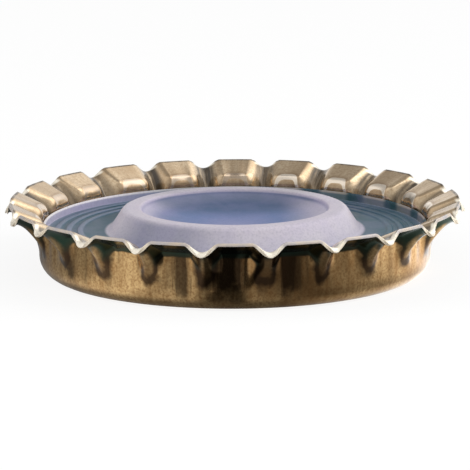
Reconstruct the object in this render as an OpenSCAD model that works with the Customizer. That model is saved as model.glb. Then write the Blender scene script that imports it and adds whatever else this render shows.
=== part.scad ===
// Crown cap lying on its panel, open side up: a pressed sheet shell with a fluted,
// flared skirt, and a thick moulded liner with a dished plug. Millimetres.
// The origin is the centre of the panel's outer face; +Z points out of the open side.

/* [Shell] */
// Diameter across the tips of the ridges at the rim
rim_d = 32.1; // [30.6:0.1:36]
// Outside diameter of the wall, just above the corner
body_d = 27.3; // [26:0.1:28.6]
// Overall height, from the panel's outer face to the top of the rim's flats
cap_h = 5.14; // [4.9:0.02:6.4]
// Thickness of the sheet
sheet_t = 0.24; // [0.18:0.01:0.3]
// Outside radius of the corner between the panel and the wall
corner_r = 1.4; // [0.8:0.1:2]

/* [Flutes] */
// Number of flutes round the skirt
flute_count = 22; // [18:1:26]
// How far the ridge tips end below the flats
tip_drop = 0.7; // [0.3:0.05:1]
// How far the ridge tips reach out past the flats
tip_reach = 0.3; // [0:0.05:0.6]
// Share of a flute's pitch that its ridge takes at the rim
ridge_share = 0.48; // [0.44:0.01:0.7]
// Share of a flute's pitch that its ridge takes at its foot
ridge_foot_share = 0.6; // [0.5:0.01:0.66]
// Lean of the flats' flare, in degrees from upright
flat_lean = 67; // [58:1:72]
// Radius of the bend between the wall and a flat's flare
flat_bend = 0.6; // [0.4:0.05:0.9]
// Lean of the ridges at the rim, in degrees from upright
ridge_lean = 78; // [70:1:84]
// Upright pull at the foot of a ridge: a longer one curls out higher up
ridge_rise = 1.1; // [0.7:0.1:1.4]
// Length of the curl at the tip of a ridge
ridge_curl = 1.5; // [1.2:0.1:1.7]

/* [Liner] */
// Gap between the liner and the wall round it
liner_gap = 0.04; // [0.02:0.01:0.1]
// Height of the channel's floor above the panel's outer face
channel_z = 3; // [2:0.05:3.3]
// Height of the top of the outer lip
lip_z = 3.55; // [3.35:0.05:3.6]
// Width of the outer lip at its foot
lip_w = 0.2; // [0.14:0.02:0.3]
// Number of fine ribs in the channel's floor
rib_count = 3; // [0:1:4]
// Distance between one rib and the next, and from the lip to the first
rib_pitch = 0.8; // [0.6:0.05:0.9]
// Height of a rib above the floor
rib_h = 0.08; // [0.04:0.01:0.14]
// Width of a rib at its foot
rib_w = 0.45; // [0.3:0.05:0.5]

/* [Plug] */
// Diameter of the plug's foot, on the channel's floor
plug_foot_d = 17.6; // [16.8:0.1:18.4]
// Diameter across the plug's shoulder
plug_top_d = 15.5; // [14.8:0.1:16.4]
// Height of the plug's top above the panel's outer face
plug_z = 4.62; // [4.2:0.02:4.9]
// Radius that rounds the plug's shoulder
shoulder_r = 0.6; // [0.2:0.05:0.8]
// Radius of the hollow where the plug meets the channel
foot_r = 0.3; // [0.1:0.05:0.4]
// Diameter of the dish in the plug's top
dish_d = 13.1; // [11.5:0.1:13.6]
// Depth of the dish
dish_depth = 1.25; // [0.6:0.05:1.8]
// Radius that rounds the dish's edge
dish_edge_r = 0.2; // [0.1:0.05:0.3]

/* [Hidden] */
body_r = body_d / 2;
tip_r = rim_d / 2;
flat_r = tip_r - tip_reach;
flat_z = cap_h - sheet_t * sin(flat_lean);
half_pitch = 180 / flute_count;
corner_steps = 3;
wall_rows = 3;
bend_rows = 4;
flare_rows = 2;
slope_step = 0.001;
// Power that shapes a ridge across: 1.5 gives a round crest and crisp edges to the flats
crest_power = 1.5;
arc_steps = 5;
dish_steps = 12;
wall_steps = 8;
// Width of the lip's top, as a share of its width at the foot
lip_taper = 0.8;
liner_facets = 176;
// Where the columns of one ridge stand, as shares of its half width
ridge_columns = [0, 0.3, 0.62, 1];

function unit(v) = v / norm(v);
function mix(a, b, share) = a * (1 - share) + b * share;

// Point at t of the smooth curve that starts at a towards b and reaches d from c
function curve(a, b, c, d, t) =
    a * pow(1 - t, 3) + b * 3 * t * pow(1 - t, 2) + c * 3 * t * t * (1 - t) + d * pow(t, 3);

// Lengths of a flat's wall, bend and flare, measured along its outer face
bend_reach = flat_bend * tan(flat_lean / 2);
wall_length = flat_z - corner_r - bend_reach - (flat_r - body_r) / tan(flat_lean);
bend_length = flat_bend * flat_lean * PI / 180;
flare_length = (flat_r - body_r) / sin(flat_lean) - bend_reach;
flat_length = wall_length + bend_length + flare_length;
wall_end = wall_length / flat_length;
bend_end = (wall_length + bend_length) / flat_length;

// Outer section of a flat, from the corner to the rim, as [radius, height]:
// up the wall, round the bend and straight out to the rim
function flat_section(t) =
    let (
        along = t * flat_length,
        turn = flat_lean * min(1, max(0, (along - wall_length) / bend_length)),
        flare = max(0, along - wall_length - bend_length)
    )
    [
        body_r + flat_bend * (1 - cos(turn)) + flare * sin(flat_lean),
        corner_r + min(along, wall_length) + flat_bend * sin(turn) + flare * cos(flat_lean)
    ];

// Outer section of a ridge: one curve that leaves the wall upright and leans out at the tip
function ridge_section(t) =
    let (tip = [tip_r, flat_z - tip_drop])
    curve([body_r, corner_r], [body_r, corner_r + ridge_rise],
        tip - ridge_curl * [sin(ridge_lean), cos(ridge_lean)], tip, t);

// Places of the skirt's rows between the corner and the rim, closest together in the bend
skirt_rows = [
    for (i = [0:wall_rows - 1]) wall_end * i / wall_rows,
    for (i = [0:bend_rows - 1]) mix(wall_end, bend_end, i / bend_rows),
    for (i = [0:flare_rows]) mix(bend_end, 1, i / flare_rows)
];

// A ridge starts wide on the wall and narrows towards the rim
function ridge_width(t) = mix(ridge_foot_share, ridge_share, t);

// How much of a ridge there is at v half pitches from its crest: 1 on the crest, 0 on the flat
function ridge_amount(v, t) =
    pow(max(0, 1 - pow(v / ridge_width(t), 2)), crest_power);

// Outer surface of the skirt, with a crest along +X
function skirt_point(v, t) =
    let (section = mix(flat_section(t), ridge_section(t), ridge_amount(v, t)))
    [section[0] * cos(v * half_pitch), section[0] * sin(v * half_pitch), section[1]];

// Outward direction of that surface, from its slopes along both parameters
function skirt_normal(v, t) =
    unit(cross(
        skirt_point(v + slope_step, t) - skirt_point(v - slope_step, t),
        skirt_point(v, t + slope_step) - skirt_point(v, t - slope_step)));

// Places of one flute's columns, in half pitches, at height t of the skirt
function columns(t) =
    let (
        w = ridge_width(t),
        right = [for (c = ridge_columns) c * w],
        between = (1 + w) / 2
    )
    [
        -between,
        for (i = [len(right) - 1:-1:1]) -right[i],
        for (v = right) v,
        between,
        1
    ];

// One flute's row of points on the skirt, sunk below the outer surface by depth
function skirt_row(t, depth) =
    [for (v = columns(t)) skirt_point(v, t) - depth * skirt_normal(v, t)];

// One flute's row of points on the corner, at an angle up from the panel
function corner_row(angle, depth) =
    let (
        r = corner_r - depth,
        reach = body_r - corner_r + r * sin(angle),
        height = corner_r - r * cos(angle)
    )
    [for (v = columns(0)) [reach * cos(v * half_pitch), reach * sin(v * half_pitch), height]];

// All rows of one side of the sheet, from the panel to the rim
function sheet_rows(depth) = [
    for (i = [0:corner_steps - 1]) corner_row(90 * i / corner_steps, depth),
    for (t = skirt_rows) skirt_row(t, depth)
];

// The row of one flute, repeated round the cap
function full_ring(row) = [
    for (i = [0:flute_count - 1], p = row)
        let (a = 2 * half_pitch * i)
        [p[0] * cos(a) - p[1] * sin(a), p[0] * sin(a) + p[1] * cos(a), p[2]]
];

// Closed skin over rings of equal length: the first and the last ring are capped flat
module skin(rings) {
    count = len(rings[0]);
    last = (len(rings) - 1) * count;
    sides = [
        for (i = [0:len(rings) - 2], j = [0:count - 1])
            let (a = i * count + j, b = i * count + (j + 1) % count)
            each [[a, a + count, b], [b, a + count, b + count]]
    ];
    lower_cap = [for (j = [0:count - 1]) j];
    upper_cap = [for (j = [count - 1:-1:0]) last + j];
    polyhedron([for (ring = rings, p = ring) p], concat([lower_cap], sides, [upper_cap]));
}

// The sheet goes up the outside, over the rim and back down the inside
module shell() {
    outside = sheet_rows(0);
    inside = sheet_rows(sheet_t);
    rows = concat(outside, [for (i = [len(inside) - 1:-1:0]) inside[i]]);
    color([0.66, 0.53, 0.33])
        skin([for (row = rows) full_ring(row)]);
}

function turned(v, angle) =
    [v[0] * cos(angle) - v[1] * sin(angle), v[0] * sin(angle) + v[1] * cos(angle)];

// The corner at b between a and c, rounded by a radius of r
function rounded_corner(a, b, c, r) =
    let (
        u = unit(a - b),
        v = unit(c - b),
        half = acos(u * v) / 2,
        centre = b + unit(u + v) * r / sin(half),
        start = b + u * r / tan(half) - centre,
        sweep = (180 - 2 * half) * -sign(cross(u, v))
    )
    [for (i = [0:arc_steps]) centre + turned(start, sweep * i / arc_steps)];

// Inner face of the flats as [height, radius] pairs, which the liner lies against
flat_inside = [
    for (t = skirt_rows)
        let (
            slope = unit(flat_section(t + slope_step) - flat_section(t - slope_step)),
            p = flat_section(t) - sheet_t * [slope[1], -slope[0]]
        )
        [p[1], p[0]]
];
function liner_r(z) = lookup(z, flat_inside) - liner_gap;

lip_top_r = liner_r(lip_z);
lip_foot_r = liner_r(channel_z) - lip_w;
plug_foot_r = plug_foot_d / 2;
plug_top_r = plug_top_d / 2;
dish_r = dish_d / 2;

// Underside and outside of the liner, from the axis to the top of the lip
liner_outside =
    let (centre_r = body_r - corner_r, r = corner_r - sheet_t - liner_gap)
    [
        [0, sheet_t],
        [centre_r - liner_gap, sheet_t],
        for (i = [0:arc_steps - 1])
            let (a = 90 * i / arc_steps)
            [centre_r + r * sin(a), corner_r - r * cos(a)],
        for (i = [0:wall_steps - 1])
            let (z = mix(corner_r, lip_z - lip_w / 4, i / wall_steps))
            [liner_r(z), z]
    ];

// Rounded top of the lip, from its outer to its inner side
lip_top =
    let (
        w = lip_w * lip_taper,
        below = liner_outside[len(liner_outside) - 1],
        outer = [lip_top_r, lip_z],
        middle = [lip_top_r - w / 2, lip_z],
        inner = [lip_top_r - w, lip_z],
        foot = [lip_foot_r, channel_z]
    )
    concat(rounded_corner(below, outer, middle, w / 4), rounded_corner(outer, inner, foot, w / 4));

// Channel floor with its ribs, from the lip to the plug
channel = [
    [lip_foot_r, channel_z],
    for (i = [1:1:rib_count], k = [0:arc_steps])
        let (a = 180 * k / arc_steps)
        [
            lip_foot_r - i * rib_pitch + rib_w / 2 * cos(a),
            channel_z + rib_h * sin(a)
        ]
];

// Plug, from its foot over the shoulder to the edge of the dish
plug =
    let (
        foot = [plug_foot_r, channel_z],
        shoulder = [plug_top_r, plug_z],
        edge = [dish_r, plug_z],
        first = 90 - 90 / dish_steps,
        wall = [dish_r * sin(first), plug_z - dish_depth * cos(first)]
    )
    concat(
        rounded_corner(channel[len(channel) - 1], foot, shoulder, foot_r),
        rounded_corner(foot, shoulder, edge, shoulder_r),
        rounded_corner(shoulder, edge, wall, dish_edge_r)
    );

// Dish: a quarter of an ellipse, from near its edge to the axis
dish = [
    for (i = [dish_steps - 1:-1:0])
        let (a = 90 * i / dish_steps)
        [dish_r * sin(a), plug_z - dish_depth * cos(a)]
];

module liner() {
    color([0.74, 0.71, 0.8])
        rotate_extrude($fn = liner_facets)
            polygon(concat(liner_outside, lip_top, channel, plug, dish));
}

shell();
liner();
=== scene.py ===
import math

import bpy
import numpy as np
from mathutils import Matrix, Vector


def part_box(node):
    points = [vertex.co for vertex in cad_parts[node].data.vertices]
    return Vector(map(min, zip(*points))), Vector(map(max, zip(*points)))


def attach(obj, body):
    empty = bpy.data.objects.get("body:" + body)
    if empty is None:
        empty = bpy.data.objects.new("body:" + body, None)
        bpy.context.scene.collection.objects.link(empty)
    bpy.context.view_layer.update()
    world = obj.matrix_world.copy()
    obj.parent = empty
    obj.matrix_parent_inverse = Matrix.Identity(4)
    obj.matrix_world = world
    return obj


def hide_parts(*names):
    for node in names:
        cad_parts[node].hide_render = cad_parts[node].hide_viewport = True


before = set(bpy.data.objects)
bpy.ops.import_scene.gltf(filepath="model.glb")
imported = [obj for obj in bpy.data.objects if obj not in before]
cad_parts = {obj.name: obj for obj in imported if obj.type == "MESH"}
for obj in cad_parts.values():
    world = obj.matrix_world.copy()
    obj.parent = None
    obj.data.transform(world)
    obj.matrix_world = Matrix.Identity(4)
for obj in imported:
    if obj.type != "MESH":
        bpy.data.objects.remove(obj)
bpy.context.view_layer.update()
mm = 0.001
print("frame loaded:", ", ".join(sorted(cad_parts)))

# camera: its distance and elevation are taken to the centre of the panel's underside; angles in degrees
cameraSetup = {
    "distance": 305.7 * mm,
    "elevation": 11.745,
    "aimAbove": 0.475,  # how far it looks over that centre
    "roll": -0.3,
    "lens": 335.24,
    "sensor": 36,
    "nearest": 10 * mm,
    "farthest": 5,
}


def makeCamera(setup):
    data = bpy.data.cameras.new("camera")
    data.lens = setup["lens"]
    data.sensor_width = setup["sensor"]
    data.clip_start, data.clip_end = setup["nearest"], setup["farthest"]
    camera = bpy.data.objects.new("camera", data)
    bpy.context.scene.collection.objects.link(camera)
    height = math.radians(setup["elevation"])
    back = Vector((0, -math.cos(height), math.sin(height)))
    tilt = math.radians(90 - setup["elevation"] + setup["aimAbove"])
    turn = Matrix.Rotation(tilt, 4, "X") @ Matrix.Rotation(math.radians(setup["roll"]), 4, "Z")
    camera.matrix_world = Matrix.Translation(back * setup["distance"]) @ turn
    bpy.context.scene.camera = camera


makeCamera(cameraSetup)
print("camera placed")

slopeStep = 1e-4  # how far apart along a surface's parameters its slope is measured


def mix(a, b, share):
    return a * (1 - share) + b * share


def cubicCurve(a, b, c, d, t):
    # the smooth curve that leaves a towards b and reaches d from the side of c, as t goes from 0 to 1:
    # the four points are weighed by (1 - t)^3, 3 t (1 - t)^2, 3 t^2 (1 - t) and t^3
    a, b, c, d = (np.array(p, float) for p in (a, b, c, d))
    t = np.asarray(t, float)[..., None]
    return a * (1 - t) ** 3 + b * 3 * t * (1 - t) ** 2 + c * 3 * t**2 * (1 - t) + d * t**3


def carriedRound(section, angle):
    # a side view, as radius and height, carried round the axis: x is the radius times the cosine of the
    # angle, y is the radius times its sine, and z is the height
    radius, height = section[..., 0], section[..., 1]
    return np.stack([radius * np.cos(angle), radius * np.sin(angle), height + 0 * angle], -1)


def ringFaces(count, around):
    # the faces between rings i and i + 1, from point j to point j + 1; a ring's last point meets its first
    i, j = np.meshgrid(np.arange(count - 1), np.arange(around), indexing="ij")
    k = (j + 1) % around
    faces = np.stack([i * around + j, i * around + k, (i + 1) * around + k, (i + 1) * around + j], -1)
    return faces.reshape(-1, 4)


def ringMesh(name, rows, startPole, endPole):
    # rows[i, j] is point j round ring i; a pole closes each end
    count, around = rows.shape[:2]
    points = np.concatenate([rows.reshape(-1, 3), [startPole], [endPole]])
    first, last = count * around, count * around + 1
    top = (count - 1) * around
    j = np.arange(around)
    k = (j + 1) % around
    quads = ringFaces(count, around)
    fans = np.concatenate([
        np.stack([np.full(around, first), k, j], -1),
        np.stack([top + j, top + k, np.full(around, last)], -1),
    ])
    corners = np.concatenate([quads.ravel(), fans.ravel()]).astype(np.int32)
    sizes = np.concatenate([np.full(len(quads), 4), np.full(len(fans), 3)])
    starts = np.concatenate([[0], np.cumsum(sizes)[:-1]]).astype(np.int32)
    mesh = bpy.data.meshes.new(name)
    mesh.vertices.add(len(points))
    mesh.vertices.foreach_set("co", points.astype(np.float32).ravel())
    mesh.loops.add(len(corners))
    mesh.loops.foreach_set("vertex_index", corners)
    mesh.polygons.add(len(sizes))
    mesh.polygons.foreach_set("loop_start", starts)
    mesh.update(calc_edges=True)
    mesh.validate()
    mesh.shade_smooth()
    return mesh


def pointValues(mesh, name, values):
    # a number or a vector on every point, for the materials to read
    values = np.asarray(values, np.float32)
    if values.ndim == 1:
        mesh.attributes.new(name, "FLOAT", "POINT").data.foreach_set("value", values)
    else:
        mesh.attributes.new(name, "FLOAT_VECTOR", "POINT").data.foreach_set("vector", values.ravel())


def showPiece(mesh, nodeName, materials):
    for material in materials:
        mesh.materials.append(material)
    piece = bpy.data.objects.new(mesh.name, mesh)
    bpy.context.scene.collection.objects.link(piece)
    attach(piece, "root")
    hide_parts(nodeName)


def setSockets(tree, made, inputs):
    # another node's output is linked to its socket, and any other value becomes the socket's own
    for socket, value in inputs.items():
        if isinstance(value, bpy.types.NodeSocket):
            tree.links.new(value, made.inputs[socket])
        else:
            made.inputs[socket].default_value = value


def addNode(tree, kind, inputs, **settings):
    made = tree.nodes.new(kind)
    for name, value in settings.items():
        setattr(made, name, value)
    setSockets(tree, made, inputs)
    return made


def calculate(tree, operation, *values, **settings):
    made = addNode(tree, "ShaderNodeMath", dict(enumerate(values)), operation=operation, **settings)
    return made.outputs[0]


def times(tree, first, second):
    return calculate(tree, "MULTIPLY", first, second)


def onVectors(tree, operation, *values):
    made = addNode(tree, "ShaderNodeVectorMath", dict(enumerate(values)), operation=operation)
    return made.outputs["Value" if operation == "LENGTH" else "Vector"]


def parted(tree, place):
    return addNode(tree, "ShaderNodeSeparateXYZ", {0: place}).outputs


def mapped(tree, value, ends, gives=(0, 1), way="LINEAR"):
    # takes the first of ends to the first of gives and the second to the second, and goes no further
    inputs = {"Value": value, "From Min": ends[0], "From Max": ends[1]}
    inputs |= {"To Min": gives[0], "To Max": gives[1]}
    return addNode(tree, "ShaderNodeMapRange", inputs, interpolation_type=way).outputs[0]


def between(tree, value, ends):
    # 0 up to the first of ends and 1 from the second on, smooth between them
    return mapped(tree, value, ends, way="SMOOTHSTEP")


def mixColour(tree, share, first, second):
    # sockets 6 and 7 are the two colours, and output 2 is theirs
    inputs = {"Factor": share, 6: first, 7: second}
    return addNode(tree, "ShaderNodeMix", inputs, data_type="RGBA").outputs[2]


def noise(tree, place, scale, detail, roughness=0.5):
    # a cloud of values about 0.5
    inputs = {"Vector": place, "Scale": scale, "Detail": detail, "Roughness": roughness}
    return addNode(tree, "ShaderNodeTexNoise", inputs).outputs[0]


def rgb(red, green, blue):
    # screen values from 0 to 255 as the linear colour that the nodes use, by the sRGB curve
    c = np.array([red, green, blue]) / 255
    linear = np.where(c <= 0.04045, c / 12.92, ((c + 0.055) / 1.055) ** 2.4)
    return (*linear.tolist(), 1)


def newGroup(name, inputs, outputs):
    tree = bpy.data.node_groups.new(name, "ShaderNodeTree")
    for socket, (kind, value) in inputs.items():
        made = tree.interface.new_socket(socket, in_out="INPUT", socket_type=kind)
        if value is not None:
            made.default_value = value
    for socket, kind in outputs.items():
        tree.interface.new_socket(socket, in_out="OUTPUT", socket_type=kind)
    start, end = tree.nodes.new("NodeGroupInput"), tree.nodes.new("NodeGroupOutput")
    return tree, start.outputs, end.inputs


number, vector, colour = "NodeSocketFloat", "NodeSocketVector", "NodeSocketColor"
white = (1, 1, 1, 1)

# the effects that the materials share: the detail and roughness of each one's noise, and where it sets in
effectSetup = {
    "grainNoise": (3, 0.65),
    "patchNoise": (4, 0.6),
    "patchEnds": (0.35, 0.68),
    "wearNoise": (5, 0.7),
    "wearSoft": 0.12,
}


def givenNoise(tree, given, layers):
    # noise at a group's own Vector, in lumps of its Size
    return noise(tree, given["Vector"], calculate(tree, "DIVIDE", 1.0, given["Size"]), *layers)


def makeGrain(setup):
    # fine speckle about 0.5
    tree, given, result = newGroup(
        "grain",
        {"Vector": (vector, None), "Size": (number, 0.15 * mm), "Contrast": (number, 1.0)},
        {"Value": number},
    )
    value = calculate(tree, "SUBTRACT", givenNoise(tree, given, setup["grainNoise"]), 0.5)
    value = calculate(tree, "MULTIPLY_ADD", value, given["Contrast"], 0.5)
    tree.links.new(value, result["Value"])
    return tree


def makePatches(setup):
    # broad, soft areas of a second colour
    tree, given, result = newGroup(
        "patches",
        {
            "Vector": (vector, None), "Size": (number, 4 * mm), "Amount": (number, 0.5),
            "Color": (colour, white), "Second": (colour, white),
        },
        {"Color": colour},
    )
    share = between(tree, givenNoise(tree, given, setup["patchNoise"]), setup["patchEnds"])
    blend = mixColour(tree, times(tree, share, given["Amount"]), given["Color"], given["Second"])
    tree.links.new(blend, result["Color"])
    return tree


def makeWearAndSheen(setup):
    # rubbed places, and painted highlights with ragged edges: where the mask passes a noisy threshold
    tree, given, result = newGroup(
        "wearAndSheenGroup",
        {
            "Vector": (vector, None), "Mask": (number, 0.0), "Size": (number, 0.5 * mm),
            "Start": (number, 0.6), "Ragged": (number, 0.5),
        },
        {"Value": number},
    )
    shift = calculate(tree, "SUBTRACT", givenNoise(tree, given, setup["wearNoise"]), 0.5)
    mask = calculate(tree, "MULTIPLY_ADD", shift, given["Ragged"], given["Mask"])
    full = calculate(tree, "ADD", given["Start"], setup["wearSoft"])
    tree.links.new(between(tree, mask, (given["Start"], full)), result["Value"])
    return tree


grain, patches, wearAndSheenGroup = makeGrain(effectSetup), makePatches(effectSetup), makeWearAndSheen(effectSetup)


def groupNode(tree, group, inputs):
    return addNode(tree, "ShaderNodeGroup", inputs, node_tree=group).outputs[0]


def grained(tree, place, setup, key):
    # the grain group, with the values whose names start with the key
    inputs = {"Vector": place, "Size": setup[key + "Size"], "Contrast": setup[key + "Contrast"]}
    return groupNode(tree, grain, inputs)


def patched(tree, place, setup, key, first, second):
    # the patches group in the same way
    inputs = {"Vector": place, "Size": setup[key + "Size"], "Amount": setup[key + "Share"]}
    return groupNode(tree, patches, inputs | {"Color": first, "Second": second})


def wearAndSheenMask(tree, place, mask, setup, key):
    # the wear-and-sheen group in the same way, for worn lacquer at the rim and for painted arch highlights
    inputs = {"Vector": place, "Mask": mask, "Start": setup[key + "Wear"], "Ragged": setup[key + "Ragged"]}
    return groupNode(tree, wearAndSheenGroup, inputs)


def newMaterial(name):
    material = bpy.data.materials.new(name)
    material.use_nodes = True
    return material, material.node_tree, material.node_tree.nodes["Principled BSDF"]


def objectPlace(tree):
    return addNode(tree, "ShaderNodeTexCoord", {}).outputs["Object"]


def attribute(tree, name, output="Fac"):
    return addNode(tree, "ShaderNodeAttribute", {}, attribute_name=name).outputs[output]


def colourRamp(tree, value, stops):
    # a colour by a value from 0 to 1, from pairs of value and colour
    made = addNode(tree, "ShaderNodeValToRGB", {0: value})
    elements = made.color_ramp.elements
    while len(elements) < len(stops):
        elements.new(1)
    for element, (place, tone) in zip(elements, stops):
        element.position, element.color = place, tone
    return made.outputs[0]


def greyRamp(tree, value, stops):
    # a grey by a value from 0 to 1, from pairs of value and grey
    return colourRamp(tree, value, [(place, (grey, grey, grey, 1)) for place, grey in stops])


def turnRamp(tree, place, stops):
    # a grey by the direction of a place from the axis, from pairs of degrees and grey: 0 is straight ahead,
    # and 90 is to the right
    parts = parted(tree, place)
    angle = calculate(tree, "ARCTAN2", parts["X"], times(tree, parts["Y"], -1.0))
    turn = mapped(tree, angle, (-math.pi, math.pi))
    return greyRamp(tree, turn, [((degrees + 180) / 360, grey) for degrees, grey in stops])


def grainySurface(tree, shader, setup, speckle, height):
    # roughness that follows the speckle, and bump
    bump = {"Height": height, "Strength": setup["bumpStrength"], "Distance": setup["bumpHeight"]}
    setSockets(tree, shader, {
        "Roughness": mapped(tree, speckle, (0, 1), setup["roughness"]),
        "Normal": addNode(tree, "ShaderNodeBump", bump).outputs[0],
    })


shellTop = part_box("shell")[1]
shellSetup = {
    "rimRadius": shellTop.x,  # a ridge's tip lies on the X axis
    "wallRadius": 13.65 * mm,
    "height": shellTop.z,
    "sheet": 0.24 * mm,
    "corner": 1.4 * mm,
    "flutes": 22,
    "tipDrop": 0.7 * mm,  # how far a ridge's tip lies under the rim
    "tipReach": 0.3 * mm,  # and out past it
    "ridgeShare": 0.48,  # half width of a ridge at the rim, in half pitches
    "ridgeFootShare": 0.6,  # and at its foot
    "crestPower": 1.5,
    "flatLean": 67,  # degrees from upright
    "flatBend": 0.6 * mm,
    "ridgeLean": 78,
    "ridgeRise": 1.1 * mm,  # how strongly a ridge starts upright
    "ridgeCurl": 1.5 * mm,  # and how strongly it ends along its lean
    "tipLift": 0.2 * mm,  # the end of a ridge stands this much higher, over these shares of the section
    "tipLiftSpan": (0.5, 0.85),
    "tipTurn": 0.28 * mm,  # and its last stretch, from this share on, turns down this much and in this much
    "tipTuck": 0.24 * mm,
    "tipTurnStart": 0.87,
    "edgeRound": 0.05 * mm,  # rounding of the cut edge, along a section of about this length
    "sectionLength": 4 * mm,
    "edgePower": 0.6,
    "unevenSeed": 4,
    "unevenWidth": 0.06,  # how much one ridge's width differs from the next
    "unevenPlace": 0.05,  # and its place, in half pitches
    "unevenDrop": 0.06 * mm,  # and the drop of its tip
    "ripple": 0.045 * mm,  # waviness of the wall round the cap
    "rippleSeed": 9,
    "rippleWaves": (25, 80, 14),  # fewest and most waves round the cap, and how many sets of them
    "rippleStart": 0.3,  # share of the section over which it sets in
    "columns": (10, 6),  # from a crest to the ridge's foot, and from there to the middle of the flat
    "skirtRows": 55,
    "edgeRows": 7,
    "outsideRows": (5, 9),  # on the panel and round the corner
    "insideRows": (2, 7),
    # colours: lacquer outside and varnish inside
    "lacquer": rgb(240, 202, 144),
    "lacquerDark": rgb(156, 112, 66),
    "varnish": rgb(230, 208, 176),
    "varnishDark": rgb(186, 158, 124),
    # both faces: brushed up the skirt, speckled, and patchy in the dark colour
    "brush": (1, 1, 0.08),  # squeezes patterns on the draw direction
    "patchSize": 5 * mm,
    "patchShare": 0.7,
    "streakSize": 0.5 * mm,
    "streakContrast": 1.6,
    "streakEnds": (0.4, 0.8),
    "streakShare": 0.5,
    "grainSize": 0.18 * mm,
    "grainContrast": 1.2,
    "grainEnds": (0.4, 0.7),
    "grainShare": 0.7,
    "roughness": (0.1, 0.21),
    "bumpStrength": 0.6,
    "bumpHeight": 0.004 * mm,
    # painted shade on the outer face where it leans over the shaded floor, from pairs of lean and share
    "flatUnderShade": [(0.08, 0), (0.22, 0.95), (1, 1)],
    "ridgeUnderShade": [(0.1, 0), (0.22, 0.9), (0.34, 0.9), (0.46, 0.45), (0.66, 0.25), (0.8, 0.92), (1, 0.95)],
    "dipStart": (0.7, 0.93),  # how near the crest the painted shade of a flat turns into that of a ridge
    "dipUnderShade": rgb(66, 50, 38),
    "rimUnderShade": rgb(40, 62, 52),
    "rimStart": (0.35, 0.6),
    "ragged": 0.35,
    "raggedSize": 0.9 * mm,
    "raggedDetail": 3,
    # the stripes are painted reflections of the dark surroundings
    # darker stripes up the outer face: faint ones all round, and strong ones in front, each given by its
    # middle, its half width, both in degrees from straight ahead to the right, and its share
    "stripe": rgb(44, 32, 25),
    "stripeSize": 1.6 * mm,
    "stripeDetail": 1,
    "stripeStart": (0.5, 0.75),
    "stripeShare": 0.5,
    "stripes": [
        (-54.8, 1.7, 0.75), (-48.2, 0.7, 0.55), (-15.4, 2.1, 0.85), (-1.5, 4.4, 0.9), (7.6, 0.8, 0.75),
        (15.6, 2.9, 0.9), (20.4, 0.7, 0.5), (51, 0.7, 0.45),
    ],
    "stripeSoft": 0.7,
    "stripeWobble": 0.9 * mm,
    "stripeFoot": (11.5 * mm, 12.9 * mm),  # lengths up the section between which they set in
    "stripeRagged": 2.5 * mm,
    "edgeWear": 0.98,  # how near the rim the lacquer is worn off
    "edgeRagged": 0.15,
    "bareTin": rgb(226, 220, 212),
    # the inner face, by half of the arch value: a painted highlight along the arches at the flats' bends,
    # and painted shade inside them and just past them
    "archLight": [(0.49, 0), (0.51, 1), (0.56, 1), (0.58, 0)],
    "archShade": [
        (0, 0.15), (0.42, 0.2), (0.485, 0.5), (0.505, 0), (0.57, 0), (0.59, 0.5), (0.62, 0.1), (0.66, 0),
    ],
    "varnishShade": rgb(150, 122, 96),
    # the painted arch highlight gets a ragged edge in the same way as the worn lacquer at the rim
    "archWear": 0.35,
    "archRagged": 0.7,
    # colour of the painted arch highlight
    "archHighlight": rgb(244, 230, 212),
    # the painted highlights are bright on the right and dimmer behind and on the left: shares of bright by
    # angle
    "archSides": [
        (-180, 0.05), (-165, 0.15), (-148, 0.3), (-133, 0), (-110, 0.3), (-80, 1), (165, 1), (180, 0.05),
    ],
    "archDim": rgb(182, 162, 140),
    # painted shade along the grooves' bottoms and a darker line under the cut edge, uneven with the streaks
    "grooveShadeAndLineTone": rgb(50, 42, 31),
    "grooveStart": (0.3, 0.75),
    "grooveShadeShare": 0.95,
    "edgeLine": (0.95, 0.97),
    "edgeLineShare": 0.85,
    "darkeningEnds": (0.3, 0.6),
    "darkeningLeast": 0.5,
    # the ridges' tips are pale and dull inside, a painted highlight: by the share of the way up and nearness
    # to the crest
    "tipHighlight": rgb(255, 246, 228),
    "tipHighlightRim": (0.9, 0.94),
    "tipSpan": (0.15, 0.5),
    "tipDull": 0.6,
    # the cut edge: greyer on the flats than on the ridges, which take the tips' painted highlight
    "cutDepths": (0.02, 0.98),  # depths in the sheet between which a face belongs to the cut edge
    "cutMetallic": 0.4,
    "cutFlat": rgb(196, 190, 190),
    "cutSpan": (0.1, 0.5),
    "cutPatchSize": 1.2 * mm,
    "cutPatchShare": 0.6,
    "cutGrainSize": 0.06 * mm,
    "cutGrainContrast": 1.5,
    "cutRoughness": (0.3, 0.55),
}


def flatLengths(setup):
    # lengths along a flat's section: where its bend starts above the corner, the bend itself and the flare
    lean, bend, wall = math.radians(setup["flatLean"]), setup["flatBend"], setup["wallRadius"]
    rimRadius = setup["rimRadius"] - setup["tipReach"]
    rimHeight = setup["height"] - setup["sheet"] * math.sin(lean)
    spent = bend * math.tan(lean / 2)  # what the bend takes from the straight on each side of it
    bendStart = rimHeight - (rimRadius - wall) / math.tan(lean) - spent - setup["corner"]
    return bendStart, bend * lean, (rimRadius - wall) / math.sin(lean) - spent


def bendPlace(setup):
    # how far up the section, from 0 to 1, the middle of the bend lies
    bendStart, bendLength, flare = flatLengths(setup)
    return (bendStart + bendLength / 2) / (bendStart + bendLength + flare)


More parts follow.
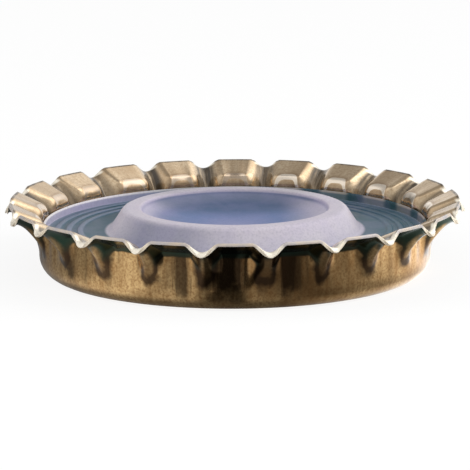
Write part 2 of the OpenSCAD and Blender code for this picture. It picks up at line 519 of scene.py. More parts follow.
def flatSection(setup, t):
    # side view of a flat, as radius and height: up the wall, round a bend and straight on to the rim.
    # In the bend the radius grows by the bend's radius times 1 less the cosine of the turn so far, and the
    # height by the bend's radius times its sine.
    lean, bend, wall = math.radians(setup["flatLean"]), setup["flatBend"], setup["wallRadius"]
    bendStart, bendLength, flare = flatLengths(setup)
    along = np.asarray(t, float) * (bendStart + bendLength + flare)
    turn = np.clip((along - bendStart) / bend, 0, lean)
    left = np.clip(along - bendStart - bend * lean, 0, None)
    radius = wall + bend * (1 - np.cos(turn)) + left * math.sin(lean)
    height = setup["corner"] + np.minimum(along, bendStart) + bend * np.sin(turn) + left * math.cos(lean)
    return np.stack([radius, height], -1)


def ridgeSection(setup, t):
    # side view of a crest: a cubic curve that leaves the wall upright and leans out at the tip. Its end is
    # lifted by a smooth step, and its last stretch turned over by the square of how far along it lies.
    foot = np.array([setup["wallRadius"], setup["corner"]])
    rimHeight = setup["height"] - setup["sheet"] * math.sin(math.radians(setup["flatLean"]))
    tip = np.array([setup["rimRadius"], rimHeight - setup["tipDrop"]])
    lean = math.radians(setup["ridgeLean"])
    curl = setup["ridgeCurl"] * np.array([math.sin(lean), math.cos(lean)])
    section = cubicCurve(foot, foot + [0, setup["ridgeRise"]], tip - curl, tip, t)
    liftStart, liftEnd = setup["tipLiftSpan"]
    lifted = np.clip((t - liftStart) / (liftEnd - liftStart), 0, 1)
    turned = np.clip((t - setup["tipTurnStart"]) / (1 - setup["tipTurnStart"]), 0, 1) ** 2
    section[..., 0] -= setup["tipTuck"] * turned
    section[..., 1] += setup["tipLift"] * lifted**2 * (3 - 2 * lifted) - setup["tipTurn"] * turned
    return section


def wallRipple(setup, angle, t):
    # radius added to the skirt: a sum of cosine waves with random phases, one set low down that turns into
    # another further up; it sets in above the corner and fades out towards the rim
    waves = np.linspace(*setup["rippleWaves"]).round()
    phases = np.random.default_rng(setup["rippleSeed"]).uniform(0, 2 * math.pi, (2, len(waves)))
    low, high = (np.cos(angle[..., None] * waves + phase).sum(-1) for phase in phases)
    fade = np.clip(t / setup["rippleStart"], 0, 1) * (1 - t**3)
    return setup["ripple"] / math.sqrt(len(waves)) * mix(low, high, t) * fade


def fluteAngle(setup, v, flute, places):
    # direction of v half pitches from a crest. How far the crest stands off its even place counts 1 - v^2
    # times, so the middles of the flats stay put.
    return (v + places * (1 - v**2) + 2 * flute) * math.pi / setup["flutes"]


def ridgeWidth(setup, t, widths):
    # half width of a ridge in half pitches, straight from its foot to the rim
    return mix(setup["ridgeFootShare"], setup["ridgeShare"], t) * widths


def skirtSurface(setup, v, t, flute, widths, drops, places):
    # the flat's section and the ridge's section, blended by the ridge's share at v half pitches from its
    # crest, which is 1 - (v / width)^2 to the crest power, and swept round the axis
    share = np.clip(1 - (v / ridgeWidth(setup, t, widths)) ** 2, 0, 1) ** setup["crestPower"]
    section = mix(flatSection(setup, t), ridgeSection(setup, t), share[..., None])
    section[..., 1] += share * drops * t**2
    angle = fluteAngle(setup, v, flute, places)
    section[..., 0] += wallRipple(setup, angle, t)
    return carriedRound(section, angle)


def shellColumns(setup):
    # places round the skirt, 0 on a crest, 1 at the ridge's foot and 2 in the middle of the flat, less than
    # 0 on the other side of the crest, and the flute that each belongs to
    onRidge, onFlat = setup["columns"]
    side = np.concatenate([np.linspace(0, 1, onRidge, False), np.linspace(1, 2, onFlat + 1)])
    columns = np.concatenate([-side[:0:-1], side])[1:]
    flute = np.repeat(np.arange(setup["flutes"]), len(columns))
    return np.tile(columns, setup["flutes"])[None, :], flute[None, :]


def skirtRows(setup):
    # t and depth under the outer face of each row: up the outside, round the cut edge and down the inside.
    # Round the edge the depth follows half a cosine wave, and t bulges by a power of the sine.
    roundShare = setup["edgeRound"] / setup["sectionLength"]
    up = np.linspace(0, 1 - roundShare, setup["skirtRows"])
    over = np.linspace(0, math.pi, setup["edgeRows"] + 2)[1:-1]
    overT = 1 - roundShare * (1 - np.sin(over) ** setup["edgePower"])
    overDepth = setup["sheet"] * (1 - np.cos(over)) / 2
    t = np.concatenate([up, overT, up[::-1]])
    depth = np.concatenate([0 * up, overDepth, 0 * up + setup["sheet"]])
    return t[:, None], depth[:, None]


def cornerSection(setup, depth, angle):
    # side view of the corner at a depth in the sheet: an arc of the corner's radius less the depth
    radius = setup["corner"] - depth
    centre = setup["wallRadius"] - setup["corner"]
    return np.stack([centre + radius * np.sin(angle), setup["corner"] - radius * np.cos(angle)], -1)


def baseRows(setup, depth, counts, angle):
    # the flat panel, in rings of even steps, and the corner, at a depth in the sheet
    onPanel, onCorner = counts
    radius = (setup["wallRadius"] - setup["corner"]) * np.linspace(0, 1, onPanel + 1, False)[1:]
    panel = np.stack([radius, 0 * radius + depth], -1)
    corner = cornerSection(setup, depth, np.linspace(0, math.pi / 2, onCorner, False))
    return carriedRound(np.concatenate([panel, corner])[:, None], angle)


def makeShell(setup):
    columns, flute = shellColumns(setup)
    t, depth = skirtRows(setup)
    unevenness = np.random.default_rng(setup["unevenSeed"]).uniform(-1, 1, (3, setup["flutes"]))
    widths = 1 + setup["unevenWidth"] * unevenness[0][flute]
    drops = setup["unevenDrop"] * unevenness[1][flute]
    places = setup["unevenPlace"] * unevenness[2][flute]

    def place(v, t):
        return skirtSurface(setup, v, t, flute, widths, drops, places)

    width = ridgeWidth(setup, t, widths)
    near = np.clip(np.abs(columns), 0, 1)
    far = np.clip(np.abs(columns) - 1, 0, 1)
    v = np.sign(columns) * (near * width + far * (1 - width))
    alongV = place(v + slopeStep, t) - place(v - slopeStep, t)
    alongT = place(v, t + slopeStep) - place(v, t - slopeStep)
    normal = np.cross(alongV, alongT)
    normal /= np.linalg.norm(normal, axis=-1, keepdims=True)
    skirt = place(v, t) - depth[..., None] * normal
    angle = fluteAngle(setup, v[0], flute[0], places[0])
    outside = baseRows(setup, 0, setup["outsideRows"], angle)
    inside = baseRows(setup, setup["sheet"], setup["insideRows"], angle)[::-1]
    rows = np.concatenate([outside, skirt, inside])
    mesh = ringMesh("fluted_shell", rows, (0, 0, 0), (0, 0, setup["sheet"]))

    # bay is 0 in the middle of a flat and 1 at a ridge's foot; arch is 1 on a line that follows the bend of
    # each flat and comes down beside the ridges, and less inside it
    bay = (1 - np.abs((v + 1) % 2 - 1)) / (1 - width)
    arch = np.hypot(bay**2, (t / bendPlace(setup)) ** 2) ** 0.5
    whole = np.ones((1, len(angle)))
    # values up the skirt, and the one that holds on the inside of the base; on its outside all are 0
    for name, values, within in (
        ("inside", depth / setup["sheet"] * whole, 1),  # how deep in the sheet
        ("rim", t * whole, 0),  # how far up the skirt
        ("crest", np.clip(1 - (v / width) ** 2, 0, 1), 0),  # how close to the middle of a ridge
        ("arch", arch, 0),
        ("lean", -normal[..., 2], 0),  # how far it leans over: 0 upright, 1 lying flat
    ):
        before = np.zeros((len(outside), len(angle)))
        after = np.full((len(inside), len(angle)), within)
        pointValues(mesh, name, np.append(np.concatenate([before, values, after]).ravel(), [0, within]))
    # the draw direction: a place round the cap and the length up the section. A pattern that is squeezed
    # along that length runs up the skirt.
    flatRound = rows[..., :2] / np.linalg.norm(rows[..., :2], axis=-1, keepdims=True)
    length = np.cumsum(np.linalg.norm(np.diff(rows[:, 0], axis=0, prepend=rows[:1, 0]), axis=-1))
    draw = np.concatenate([flatRound * setup["wallRadius"], (length[:, None] * whole)[..., None]], -1)
    pointValues(mesh, "draw", np.concatenate([draw.reshape(-1, 3), [[0, 0, 0], [0, 0, length[-1]]]]))
    return mesh


def stripeStops(setup):
    # the stripes as a grey by direction, each edge soft over stripeSoft degrees on both of its sides
    soft = setup["stripeSoft"]
    stops = []
    for middle, half, share in setup["stripes"]:
        stops += [(middle - half - soft, 0), (middle - half + soft, share)]
        stops += [(middle + half - soft, share), (middle + half + soft, 0)]
    return stops


def stripeShare(tree, setup, marks, ragged):
    # painted dark reflections: faint stripes from noise along the brushing and the listed ones, whose edges
    # waver with the streaks
    faint = noise(tree, marks["along"], 1 / setup["stripeSize"], setup["stripeDetail"])
    faint = times(tree, between(tree, faint, setup["stripeStart"]), setup["stripeShare"])
    wobble = times(tree, calculate(tree, "SUBTRACT", marks["streaks"], 0.5), setup["stripeWobble"])
    wobble = addNode(tree, "ShaderNodeCombineXYZ", {"X": wobble}).outputs[0]
    strong = turnRamp(tree, onVectors(tree, "ADD", marks["place"], wobble), stripeStops(setup))
    length = parted(tree, marks["draw"])["Z"]
    length = calculate(tree, "MULTIPLY_ADD", ragged, setup["stripeRagged"], length)
    share = calculate(tree, "MAXIMUM", faint, strong)
    return times(tree, share, between(tree, length, setup["stripeFoot"]))


def dressOutside(tree, setup, marks, tint):
    # painted dark reflections in stripes, painted shade where the skirt leans over, and worn lacquer at the
    # rim, all fully metallic
    rim, lean, crest = (attribute(tree, name) for name in ("rim", "lean", "crest"))
    ragged = noise(tree, marks["place"], 1 / setup["raggedSize"], setup["raggedDetail"])
    ragged = calculate(tree, "SUBTRACT", ragged, 0.5)
    tint = mixColour(tree, stripeShare(tree, setup, marks, ragged), tint, setup["stripe"])
    lean = calculate(tree, "MULTIPLY_ADD", ragged, setup["ragged"], lean)
    # painted shade where the skirt leans over
    onFlat, onRidge = (greyRamp(tree, lean, setup[key]) for key in ("flatUnderShade", "ridgeUnderShade"))
    share = mixColour(tree, between(tree, crest, setup["dipStart"]), onFlat, onRidge)
    underShade = mixColour(tree, between(tree, rim, setup["rimStart"]), setup["dipUnderShade"], setup["rimUnderShade"])
    tint = mixColour(tree, share, tint, underShade)
    worn = wearAndSheenMask(tree, marks["place"], rim, setup, "edge")
    return mixColour(tree, worn, tint, setup["bareTin"]), 1.0


def dressInside(tree, setup, marks, tint):
    # painted arch highlights and shade, painted shade in the grooves, a darker line under the edge, and a
    # painted highlight on the tips; the darkened places and the tips are less metallic
    rim, crest = (attribute(tree, name) for name in ("rim", "crest"))
    arch = times(tree, attribute(tree, "arch"), 0.5)
    # painted shade inside the arches and just past them
    tint = mixColour(tree, greyRamp(tree, arch, setup["archShade"]), tint, setup["varnishShade"])
    # painted highlight along the arches, bright on the right and dimmer behind and on the left
    light = greyRamp(tree, arch, setup["archLight"])
    bright = turnRamp(tree, marks["place"], setup["archSides"])
    archHighlight = mixColour(tree, bright, setup["archDim"], setup["archHighlight"])
    tint = mixColour(tree, wearAndSheenMask(tree, marks["place"], light, setup, "arch"), tint, archHighlight)
    # painted shade in the grooves, and a darker line under the cut edge, patchy with the streaks
    groove = times(tree, between(tree, crest, setup["grooveStart"]), setup["grooveShadeShare"])
    line = times(tree, between(tree, rim, setup["edgeLine"]), setup["edgeLineShare"])
    patchy = mapped(tree, marks["streaks"], setup["darkeningEnds"], (setup["darkeningLeast"], 1))
    darkened = times(tree, calculate(tree, "MAXIMUM", groove, line), patchy)
    tint = mixColour(tree, darkened, tint, setup["grooveShadeAndLineTone"])
    # painted highlight on the ridges' tips, which are also less metallic
    tip = times(tree, between(tree, rim, setup["tipHighlightRim"]), between(tree, crest, setup["tipSpan"]))
    dull = calculate(tree, "MAXIMUM", darkened, times(tree, tip, setup["tipDull"]))
    return mixColour(tree, tip, tint, setup["tipHighlight"]), calculate(tree, "SUBTRACT", 1.0, dull)


def makeTinplate(name, setup, coat, dress):
    # metal in the coat's colour, with patches, brushed streaks and speckle; dress adds what only its face
    # has, and gives the tint and how metallic it is
    dark = setup[coat + "Dark"]
    material, tree, shader = newMaterial(name)
    place, draw = objectPlace(tree), attribute(tree, "draw", "Vector")
    along = onVectors(tree, "MULTIPLY", draw, setup["brush"])
    tint = patched(tree, place, setup, "patch", setup[coat], dark)
    streaks, speckle = grained(tree, along, setup, "streak"), grained(tree, place, setup, "grain")
    for key, value in (("streak", streaks), ("grain", speckle)):
        share = mapped(tree, value, setup[key + "Ends"], (0, setup[key + "Share"]))
        tint = mixColour(tree, share, tint, dark)
    marks = {"place": place, "draw": draw, "along": along, "streaks": streaks}
    tint, metallic = dress(tree, setup, marks, tint)
    setSockets(tree, shader, {"Base Color": tint, "Metallic": metallic})
    grainySurface(tree, shader, setup, speckle, calculate(tree, "ADD", streaks, speckle))
    return material


def makeCutEdge(name, setup):
    # bare tin, patchy and finely speckled
    material, tree, shader = newMaterial(name)
    place = objectPlace(tree)
    onRidge = between(tree, attribute(tree, "crest"), setup["cutSpan"])
    tint = mixColour(tree, onRidge, setup["cutFlat"], setup["tipHighlight"])
    setSockets(tree, shader, {
        "Base Color": patched(tree, place, setup, "cutPatch", tint, setup["varnish"]),
        "Metallic": setup["cutMetallic"],
        "Roughness": mapped(tree, grained(tree, place, setup, "cutGrain"), (0, 1), setup["cutRoughness"]),
    })
    return material


def paintSheet(mesh, setup):
    # outer face, inner face or cut edge, by the mean depth in the sheet of each face's corners
    count = len(mesh.polygons)
    depth = np.zeros(len(mesh.vertices), np.float32)
    mesh.attributes["inside"].data.foreach_get("value", depth)
    corner = np.zeros(len(mesh.loops), np.int32)
    mesh.loops.foreach_get("vertex_index", corner)
    start, total = np.zeros(count, np.int32), np.zeros(count, np.int32)
    mesh.polygons.foreach_get("loop_start", start)
    mesh.polygons.foreach_get("loop_total", total)
    mean = np.add.reduceat(depth[corner], start) / total
    shallow, deep = setup["cutDepths"]
    index = np.where(mean < shallow, 0, np.where(mean > deep, 1, 2)).astype(np.int32)
    mesh.polygons.foreach_set("material_index", index)


shellMesh = makeShell(shellSetup)
print("shell surface:", len(shellMesh.polygons), "faces")
showPiece(shellMesh, "shell", [
    makeTinplate("outer_lacquer", shellSetup, "lacquer", dressOutside),
    makeTinplate("inner_varnish", shellSetup, "varnish", dressInside),
    makeCutEdge("bare_edge", shellSetup),
])
paintSheet(shellMesh, shellSetup)
print("shell finished")

linerSetup = {
    "gap": 0.04 * mm,  # to the wall
    "channelHeight": 3 * mm,
    "lipHeight": 3.55 * mm,
    "lipWidth": 0.2 * mm,
    "lipTaper": 0.8,  # width of its top next to its foot
    "lipRound": 0.25,  # radius of its edges next to its width
    "ribs": 3,
    "ribPitch": 0.8 * mm,
    "ribHeight": 0.08 * mm,
    "ribWidth": 0.45 * mm,
    "plugFootRadius": 8.8 * mm,
    "plugTopRadius": 7.75 * mm,
    "plugHeight": 4.62 * mm,
    "shoulderRound": 0.6 * mm,
    "footRound": 0.3 * mm,
    "dishRadius": 6.55 * mm,
    "dishDepth": 1.25 * mm,
    "dishEdgeRound": 0.2 * mm,
    "dishAngles": (84, 1),  # degrees from the middle of the dish, at its edge and in the innermost ring
    "columns": 308,
    "spacing": 0.14 * mm,  # between one ring of the surface and the next
    "leastSpacing": 0.02 * mm,
    "wallPoints": 90,
    "cornerPoints": 9,
    "sidePoints": 12,
    "ribPoints": 13,
    "arcPoints": 9,
    "shoulderPoints": 14,
    "dishPoints": 40,
    # colours by distance from the axis, up to reach. Here and in what follows, places and distances without
    # a unit are in millimetres.
    # the darker ring in the dish and the dark line at its edge are painted shade
    "tones": [
        (0.0, rgb(136, 144, 188)), (1.6, rgb(118, 132, 180)), (3.2, rgb(98, 122, 172)),
        (4.4, rgb(104, 124, 168)), (5.2, rgb(130, 136, 176)), (5.9, rgb(180, 176, 200)),
        (6.3, rgb(192, 186, 206)), (6.45, rgb(166, 160, 186)), (6.6, rgb(216, 206, 218)),
        (8.5, rgb(214, 208, 218)), (8.95, rgb(200, 196, 212)), (9.12, rgb(34, 90, 110)),
        (12.4, rgb(26, 84, 100)), (12.85, rgb(92, 122, 140)), (13.05, rgb(126, 142, 158)),
    ],
    "reach": 14.0,
    # the thin lip: painted light on the left and painted shade on the right, with the wall behind it showing
    # through more on the right: colours by place along X
    "lipStart": (13.08, 13.18),
    "lipTopLightAndShade": [
        (-13.4, rgb(252, 248, 248)), (-10.0, rgb(246, 240, 242)), (-5.0, rgb(176, 176, 176)),
        (0.0, rgb(140, 138, 132)), (6.0, rgb(152, 146, 134)), (13.4, rgb(160, 150, 136)),
    ],
    # and the same for its inner side, below its top
    "lipSideStart": (3.46, 3.36),
    "lipSideLightAndShade": [
        (-13.4, rgb(200, 194, 212)), (-11.0, rgb(178, 174, 198)), (-6.0, rgb(132, 138, 160)),
        (0.0, rgb(108, 120, 128)), (6.0, rgb(88, 108, 112)), (13.4, rgb(112, 114, 110)),
    ],
    # on the lip's right, dark marks in step with the ridges: painted shade
    "flutes": shellSetup["flutes"],
    "fluteEnds": (-0.2, 0.7),
    "fluteSide": (-4, 4),
    "ridgeShade": rgb(44, 74, 80),
    # the plug's flank is in soft shade on its front left: shares by angle from straight ahead to the right
    "flankShares": [(-180, 0), (-75, 0), (-50, 0.75), (-25, 0.6), (-8, 0.15), (5, 0), (180, 0)],
    "flankRings": [(7.5, 8.0), (9.2, 8.9)],
    "flankTone": rgb(128, 132, 154),
    # areas of shade or light, one over the other: the way and the places along it between which each comes
    # in, the distances from the axis between which it starts and ends, its colour and its share
    "areas": {
        "farDish": ("Y", (1.5, 4.5), [(6.54, 6.44)], rgb(50, 80, 108), 0.75),
        "rightOfDish": ("X", (3.0, 6.0), [(6.4, 6.2)], rgb(196, 188, 204), 0.6),
        "farRim": ("Y", (3.0, 6.0), [(6.44, 6.54), (8.2, 8.0)], rgb(164, 160, 164), 0.55),
        "farChannel": ("Y", (2.0, 9.0), [(8.95, 9.12), (13.1, 12.6)], rgb(24, 62, 74), 0.7),
    },
    # painted light on the ribs' tops, paler than the channel and most on the left: shares by angle
    "ribTop": (3.02, 3.07),
    "ribRings": [(9.6, 9.9), (12.9, 12.7)],
    "ribLightShares": [
        (-180, 0.4), (-120, 0.8), (-70, 0.9), (-40, 0.6), (0, 0.3), (60, 0.1), (120, 0.1), (180, 0.4),
    ],
    "ribLightTone": rgb(124, 142, 166),
    "cloud": rgb(170, 160, 205),
    "cloudSize": 2 * mm,
    "cloudShare": 0.14,
    "speck": rgb(96, 100, 128),
    "speckEnds": (0.45, 0.8),
    "speckShare": 0.3,
    "grainSize": 0.16 * mm,
    "grainContrast": 1.0,
    "specular": 0.1,
    "roughness": (0.22, 0.42),
    "bumpStrength": 0.4,
    "bumpHeight": 0.004 * mm,
}


def roundedCorner(a, b, c, radius, points):
    # the corner at b between a and c, as an arc that touches both of its sides: the arc's start, seen from
    # its centre, times the cosine of the angle, and the same turned aside times its sine
    a, b, c = (np.array(p, float) for p in (a, b, c))
    u = (a - b) / np.linalg.norm(a - b)
    w = (c - b) / np.linalg.norm(c - b)
    half = math.acos(np.clip(u @ w, -1, 1)) / 2
    centre = b + (u + w) / np.linalg.norm(u + w) * radius / math.sin(half)
    start = b + u * radius / math.tan(half) - centre
    aside = np.array([-start[1], start[0]])
    sweep = (math.pi - 2 * half) * -np.sign(u[0] * w[1] - u[1] * w[0])
    angle = np.linspace(0, sweep, points)
    return centre + np.outer(np.cos(angle), start) + np.outer(np.sin(angle), aside)


def wallInside(shell, points):
    # side view of the inner face of a flat: the outer face moved in by the sheet along its normal
    t = np.linspace(0, 1, points)
    slope = flatSection(shell, t + slopeStep) - flatSection(shell, t - slopeStep)
    slope /= np.linalg.norm(slope, axis=-1, keepdims=True)
    return flatSection(shell, t) - shell["sheet"] * np.stack([slope[:, 1], -slope[:, 0]], -1)


def linerSection(setup, shell):
    # under the pad, up its outside beside the wall, over the lip, along the ribbed channel, up the plug and
    # down the dish, which is a quarter of an ellipse; a rib is half of one
    inner = wallInside(shell, setup["wallPoints"])

    def outer(height):
        return np.interp(height, inner[:, 1], inner[:, 0]) - setup["gap"]

    under = [shell["wallRadius"] - shell["corner"] - setup["gap"], shell["sheet"]]
    turn = np.linspace(0, math.pi / 2, setup["cornerPoints"])[1:]
    corner = cornerSection(shell, shell["sheet"] + setup["gap"], turn)
    lipEdge = setup["lipHeight"] - setup["lipWidth"] * setup["lipRound"]
    height = np.linspace(shell["corner"], lipEdge, setup["sidePoints"])[1:]
    side = np.stack([outer(height), height], -1)
    lipTop = outer(setup["lipHeight"])
    lipFoot = outer(setup["channelHeight"]) - setup["lipWidth"]
    flat = setup["lipWidth"] * setup["lipTaper"]
    lipOuter = [lipTop, setup["lipHeight"]]
    lipMiddle = [lipTop - flat / 2, setup["lipHeight"]]
    lipInner = [lipTop - flat, setup["lipHeight"]]
    channelEdge = [lipFoot, setup["channelHeight"]]
    ribs = []
    for i in range(setup["ribs"]):
        a = np.linspace(0, math.pi, setup["ribPoints"])
        across = lipFoot - (i + 1) * setup["ribPitch"] + setup["ribWidth"] / 2 * np.cos(a)
        ribs.append(np.stack([across, setup["channelHeight"] + setup["ribHeight"] * np.sin(a)], -1))
    foot = [setup["plugFootRadius"], setup["channelHeight"]]
    shoulder = [setup["plugTopRadius"], setup["plugHeight"]]
    edge = [setup["dishRadius"], setup["plugHeight"]]
    a = np.radians(np.linspace(*setup["dishAngles"], setup["dishPoints"]))
    dishHeight = setup["plugHeight"] - setup["dishDepth"] * np.cos(a)
    dish = np.stack([setup["dishRadius"] * np.sin(a), dishHeight], -1)
    return np.concatenate([
        [[setup["leastSpacing"], shell["sheet"]], under], corner, side,
        roundedCorner(side[-1], lipOuter, lipMiddle, flat * setup["lipRound"], setup["arcPoints"]),
        roundedCorner(lipOuter, lipInner, channelEdge, flat * setup["lipRound"], setup["arcPoints"]),
        [channelEdge], *ribs,
        roundedCorner(ribs[-1][-1], foot, shoulder, setup["footRound"], setup["arcPoints"]),
        roundedCorner(foot, shoulder, edge, setup["shoulderRound"], setup["shoulderPoints"]),
        roundedCorner(shoulder, edge, dish[0], setup["dishEdgeRound"], setup["arcPoints"]),
        dish,
    ])


def makeLiner(setup, shell):
    # the side view, with points evenly along it as well as its own, carried round the axis
    path = linerSection(setup, shell)
    length = np.concatenate([[0], np.cumsum(np.linalg.norm(np.diff(path, axis=0), axis=-1))])
    at = np.unique(np.concatenate([np.arange(0, length[-1], setup["spacing"]), length]))
    at = at[np.concatenate([[True], np.diff(at) > setup["leastSpacing"]])]
    section = np.stack([np.interp(at, length, path[:, 0]), np.interp(at, length, path[:, 1])], -1)
    angle = np.linspace(0, 2 * math.pi, setup["columns"], False)
    dishMiddle = (0, 0, setup["plugHeight"] - setup["dishDepth"])
    return ringMesh("liner_pad", carriedRound(section[:, None], angle), (0, 0, shell["sheet"]), dishMiddle)


def onRings(tree, share, reach, rings):
    # the share, kept where the distance from the axis is past the second end of each ring, and 0 before its
    # first end; a ring with its ends the other way round keeps what is nearer to the axis
    for ends in rings:
        share = times(tree, share, between(tree, reach, ends))
    return share


def lipColour(tree, setup, parts):
    # the lip's top and inner side, with painted light and shade across them and the ridges' painted shade
    reach = setup["reach"]
    across = mapped(tree, parts["X"], (-reach, reach))
    # painted light on the left and painted shade on the right
    top, side = (
        colourRamp(tree, across, [(0.5 + x / reach / 2, tone) for x, tone in setup[key]])
        for key in ("lipTopLightAndShade", "lipSideLightAndShade")
    )
    lip = mixColour(tree, between(tree, parts["Z"], setup["lipSideStart"]), top, side)
    # painted shade in step with the ridges, on the lip's right
    angle = calculate(tree, "ARCTAN2", parts["Y"], parts["X"])
    ridges = calculate(tree, "COSINE", times(tree, angle, float(setup["flutes"])))
    onSide = between(tree, parts["X"], setup["fluteSide"])
    ridges = times(tree, between(tree, ridges, setup["fluteEnds"]), onSide)
    return mixColour(tree, ridges, lip, setup["ridgeShade"])


def makeLinerPlastic(name, setup):
    material, tree, shader = newMaterial(name)
    place = objectPlace(tree)
    parts = parted(tree, onVectors(tree, "MULTIPLY", place, (1 / mm, 1 / mm, 1 / mm)))
    reach = onVectors(tree, "LENGTH", onVectors(tree, "MULTIPLY", place, (1 / mm, 1 / mm, 0)))
    share = calculate(tree, "DIVIDE", reach, setup["reach"])
    tone = colourRamp(tree, share, [(radius / setup["reach"], tone) for radius, tone in setup["tones"]])
    tone = mixColour(tree, between(tree, reach, setup["lipStart"]), tone, lipColour(tree, setup, parts))
    flank = onRings(tree, turnRamp(tree, place, setup["flankShares"]), reach, setup["flankRings"])
    tone = mixColour(tree, flank, tone, setup["flankTone"])
    for way, ends, rings, areaTone, share in setup["areas"].values():
        share = times(tree, onRings(tree, between(tree, parts[way], ends), reach, rings), share)
        tone = mixColour(tree, share, tone, areaTone)
    # painted light on the ribs' tops
    onTop = between(tree, parts["Z"], setup["ribTop"])
    onTop = times(tree, onTop, turnRamp(tree, place, setup["ribLightShares"]))
    tone = mixColour(tree, onRings(tree, onTop, reach, setup["ribRings"]), tone, setup["ribLightTone"])
    tone = patched(tree, place, setup, "cloud", tone, setup["cloud"])
    speckle = grained(tree, place, setup, "grain")
    specks = mapped(tree, speckle, setup["speckEnds"], (0, setup["speckShare"]))
    tone = mixColour(tree, specks, tone, setup["speck"])
    setSockets(tree, shader, {"Base Color": tone, "Specular IOR Level": setup["specular"]})
    grainySurface(tree, shader, setup, speckle, speckle)
    return material


linerMesh = makeLiner(linerSetup, shellSetup)
print("liner surface:", len(linerMesh.polygons), "faces")
showPiece(linerMesh, "liner", [makeLinerPlastic("liner_plastic", linerSetup)])
print("liner finished")

stageSetup = {
    "floorSize": 3.0,
    "floorDrop": 0.01 * mm,
    "floorColour": (0.9, 0.9, 0.9, 1),
    "ownWhite": 0.8,  # share of the floor's white that is its own where it is seen; the rest takes shadows
    "glow": 1.08,  # how bright that white is
    "ambient": 0.36,
}

# lamps: degrees from the camera's side towards the right and up, distance, width and height, and brightness
# next to white paper
lampSetup = {
    "key_lamp": (75, 25, 320 * mm, 420 * mm, 250 * mm, 3.0),
    "left_lamp": (-75, 25, 320 * mm, 300 * mm, 200 * mm, 2.6),
    "front_lamp": (4, 40, 350 * mm, 260 * mm, 110 * mm, 1.8),
}


def lookingRays(tree, seen=1.0):
    # how much a ray that looks at the scene counts, straight or in a reflection; 0 for one that lights it
    ray = addNode(tree, "ShaderNodeLightPath", {}).outputs
    bent = calculate(tree, "ADD", ray["Is Glossy Ray"], ray["Is Transmission Ray"], use_clamp=True)
    return calculate(tree, "MULTIPLY_ADD", ray["Is Camera Ray"], seen, bent, use_clamp=True)


def stagePiece(name, points, faces):
    # a surface of the stage, with a material that has only its output yet
    mesh = bpy.data.meshes.new(name)
    mesh.from_pydata(points, [], faces)
    piece = bpy.data.objects.new(name, mesh)
    bpy.context.scene.collection.objects.link(piece)
    material = bpy.data.materials.new(name)
    material.use_nodes = True
    tree = material.node_tree
    tree.nodes.remove(tree.nodes["Principled BSDF"])
    mesh.materials.append(material)
    return piece, tree, tree.nodes["Material Output"]


def makeFloor(setup):
    # white paper that shadows fall on, mixed with plain white where it is looked at
    half = setup["floorSize"] / 2
    corners = [(-half, -half, 0), (half, -half, 0), (half, half, 0), (-half, half, 0)]
    floor, tree, output = stagePiece("floor", corners, [(0, 1, 2, 3)])
    floor.location.z = -setup["floorDrop"]
    paper = addNode(tree, "ShaderNodeBsdfDiffuse", {"Color": setup["floorColour"]}).outputs[0]
    glow = addNode(tree, "ShaderNodeEmission", {"Color": white, "Strength": setup["glow"]}).outputs[0]
    looked = lookingRays(tree, setup["ownWhite"])
    both = addNode(tree, "ShaderNodeMixShader", {0: looked, 1: paper, 2: glow})
    setSockets(tree, output, {"Surface": both.outputs[0]})


def makeLamp(name, turn, up, distance, width, height, bright):
    # an ellipse that faces the cap; its power is the brightness times pi times its area
    data = bpy.data.lights.new(name, "AREA")
    data.shape = "ELLIPSE"
    data.size, data.size_y = width, height
    data.energy = bright * math.pi * (math.pi / 4 * width * height)
    lamp = bpy.data.objects.new(name, data)
    turn, up = math.radians(turn), math.radians(up)
    away = Vector((math.sin(turn) * math.cos(up), -math.cos(turn) * math.cos(up), math.sin(up)))
    lamp.location = away * distance
    lamp.rotation_mode = "QUATERNION"
    lamp.rotation_quaternion = (-away).to_track_quat("-Z", "Y")
    lamp.visible_camera = False
    lamp.visible_glossy = False
    bpy.context.scene.collection.objects.link(lamp)


def makeWorld(setup):
    world = bpy.data.worlds.new("studio")
    world.use_nodes = True
    tree = world.node_tree
    strength = mapped(tree, lookingRays(tree), (0, 1), (setup["ambient"], 1))
    setSockets(tree, tree.nodes["Background"], {"Color": white, "Strength": strength})
    bpy.context.scene.world = world


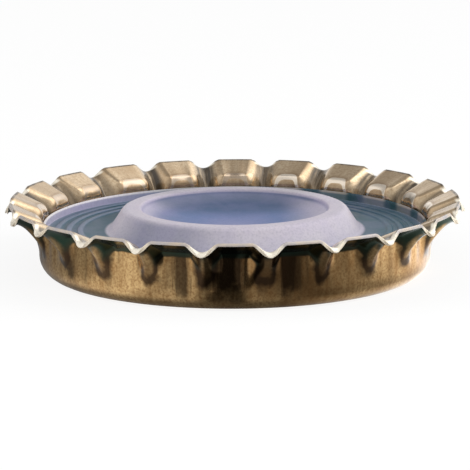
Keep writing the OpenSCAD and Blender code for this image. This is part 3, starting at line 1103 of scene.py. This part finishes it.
# grey cards that only the metal and the gloss mirror: one on the floor and one as a dome. Their tones are
# pairs of angle, in degrees from straight ahead to the right, and brightness next to white paper.
cardSetup = {
    "brightest": 2.5,
    "discRadius": 140 * mm,
    "discHeight": 0.05 * mm,
    "discPoints": 96,
    "nearTones": [
        (-180, 0.3), (-100, 0.25), (-60, 0.2), (-40, 0.22), (-20, 0.15), (0, 0.08), (15, 0.13), (30, 0.38),
        (45, 0.6), (60, 1.1), (75, 1.7), (100, 1.6), (140, 0.6), (180, 0.3),
    ],
    "farTones": [
        (-180, 0.5), (-130, 0.25), (-100, 0.22), (-72, 0.3), (-52, 0.75), (-38, 0.8), (-28, 0.5),
        (-22, 0.55), (-14, 0.5), (-8, 0.06), (2, 0.04), (5, 0.3), (14, 0.2), (28, 0.14), (40, 0.25),
        (52, 0.34), (65, 0.7), (80, 1.2), (92, 1.8), (110, 1.3), (140, 0.8), (180, 0.5),
    ],
    "discChange": (13.2 * mm, 14.2 * mm),  # distances from the axis from near tones to far ones
    "domeRadius": 600 * mm,
    "domeRings": (0, 89, 24),  # lowest and highest in degrees, and how many
    "domePoints": 64,
    "lowTones": [
        (-180, 0.8), (-168, 1.0), (-145, 0.18), (-125, 0.2), (-105, 0.6), (-70, 0.65), (-30, 0.5),
        (0, 0.35), (30, 0.45), (60, 0.4), (90, 0.35), (115, 0.5), (135, 1.25), (165, 1.0), (180, 0.8),
    ],
    "highTones": [
        (-180, 0.47), (-155, 0.43), (-135, 0.52), (-110, 0.9), (-80, 0.9), (-50, 0.7), (0, 0.6), (30, 0.75),
        (60, 1.3), (90, 2.15), (120, 2.25), (148, 1.6), (165, 1.15), (180, 0.47),
    ],
    "domeChange": (15, 42),  # heights in degrees from low tones to high ones
}


def greyCard(name, section, points, setup, tone):
    # a side view carried round the axis, glowing in the tone and seen by glossy rays alone
    angle = np.linspace(0, 2 * math.pi, points, False)
    rows = carriedRound(section[:, None], angle)
    card, tree, output = stagePiece(name, rows.reshape(-1, 3).tolist(), ringFaces(*rows.shape[:2]).tolist())
    for way in ("camera", "diffuse", "transmission", "volume_scatter", "shadow"):
        setattr(card, "visible_" + way, False)
    inputs = {"Color": tone(tree, setup), "Strength": setup["brightest"]}
    setSockets(tree, output, {"Surface": addNode(tree, "ShaderNodeEmission", inputs).outputs[0]})


def tonesRound(tree, place, setup, key):
    return turnRamp(tree, place, [(turn, bright / setup["brightest"]) for turn, bright in setup[key]])


def discTone(tree, setup):
    place = objectPlace(tree)
    near, far = (tonesRound(tree, place, setup, key) for key in ("nearTones", "farTones"))
    return mixColour(tree, between(tree, onVectors(tree, "LENGTH", place), setup["discChange"]), near, far)


def domeTone(tree, setup):
    place = objectPlace(tree)
    low, high = (tonesRound(tree, place, setup, key) for key in ("lowTones", "highTones"))
    heights = setup["domeRadius"] * np.sin(np.radians(setup["domeChange"]))
    return mixColour(tree, between(tree, parted(tree, place)["Z"], heights.tolist()), low, high)


def makeCards(setup):
    # a flat disc under the cap and half a ball over it
    disc = np.array([[0, setup["discHeight"]], [setup["discRadius"], setup["discHeight"]]])
    greyCard("floor_card", disc, setup["discPoints"], setup, discTone)
    up = np.radians(np.linspace(*setup["domeRings"]))
    dome = setup["domeRadius"] * np.stack([np.cos(up), np.sin(up)], -1)
    greyCard("dome_card", dome, setup["domePoints"], setup, domeTone)


makeFloor(stageSetup)
for lampName, lampValues in lampSetup.items():
    makeLamp(lampName, *lampValues)
makeWorld(stageSetup)
makeCards(cardSetup)
bpy.context.scene.view_settings.view_transform = "Standard"
print("stage lit")
